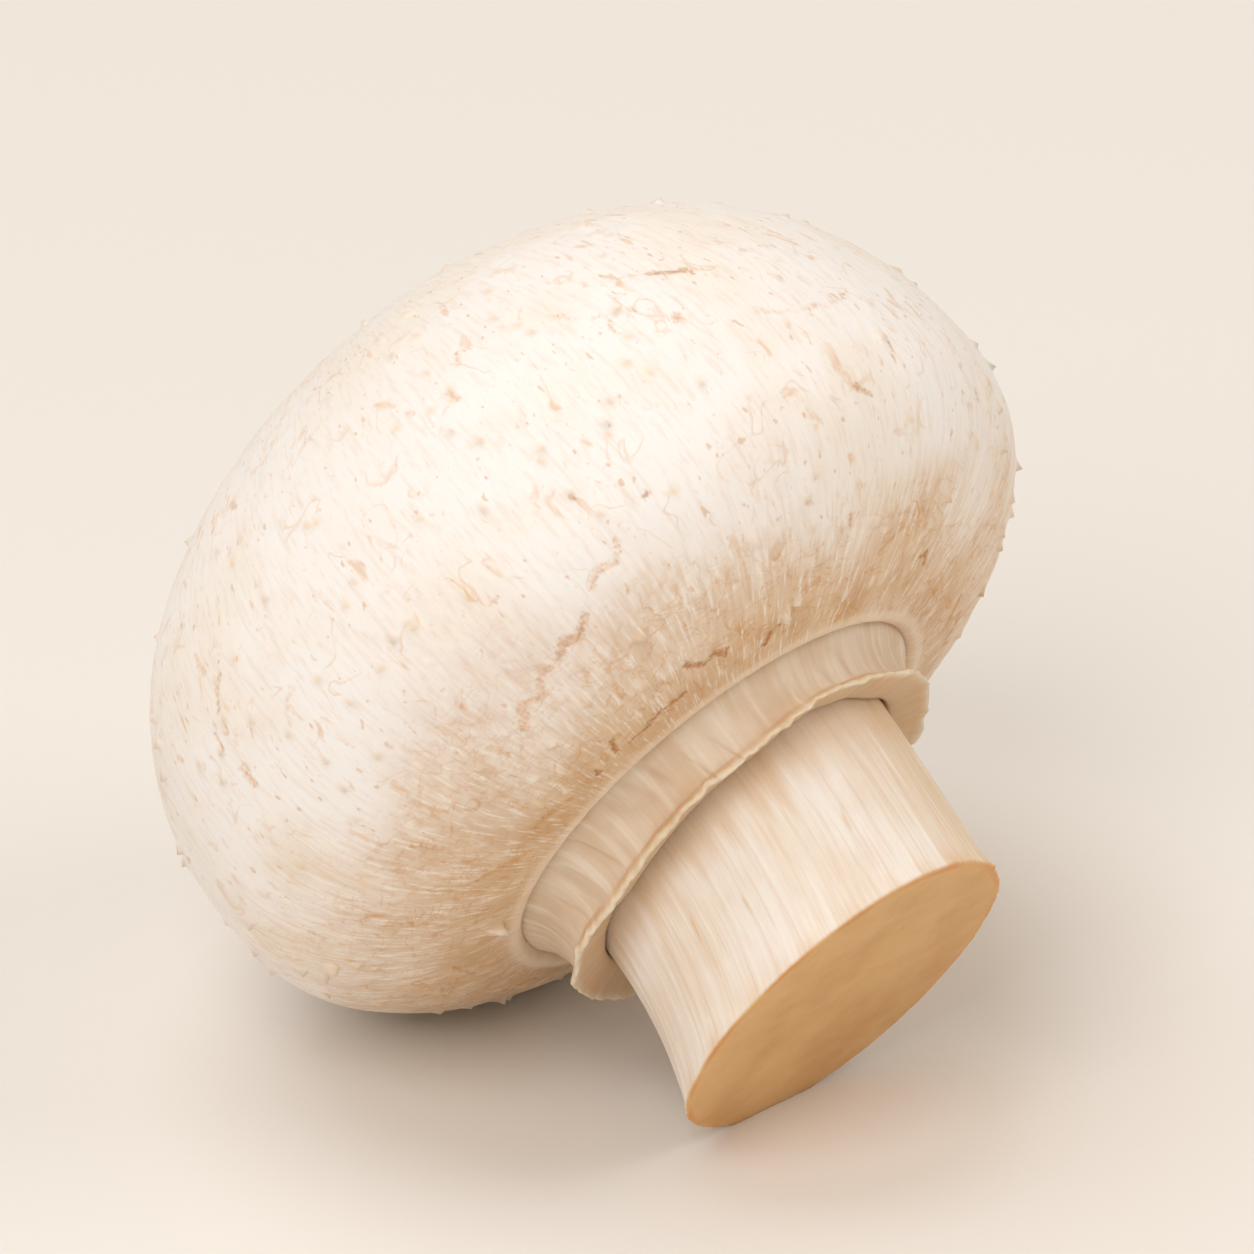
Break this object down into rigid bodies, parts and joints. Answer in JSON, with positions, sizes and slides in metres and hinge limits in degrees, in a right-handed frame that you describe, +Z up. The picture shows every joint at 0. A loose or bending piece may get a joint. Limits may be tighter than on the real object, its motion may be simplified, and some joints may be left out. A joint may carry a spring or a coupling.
{
  "type": "button mushroom",
  "caption": "Closed-cup button mushroom, lying on its side: domed cream cap, ragged veil ring and short fibrous stem with a flat cut end.",
  "frame": {"origin": "on the surface that the mushroom lies on, under the middle of its bounding box", "axes": "+X across the cap, the longest extent; +Z up, the shortest extent; the stem points to -Y and down"},
  "size_m": [0.046, 0.0424, 0.0417],
  "materials": {
    "cap_skin": "matte, finely fibrous cream skin with tan flecks",
    "veil": "matte, thin and fluted off-white skin with a ragged edge",
    "stem_flesh": "matte, lengthwise cream fibres, tan on the cut end"
  },
  "bodies": {
    "root": {"cap": "cap_skin", "veil": "veil", "stem": "stem_flesh"}
  },
  "joints": []
}
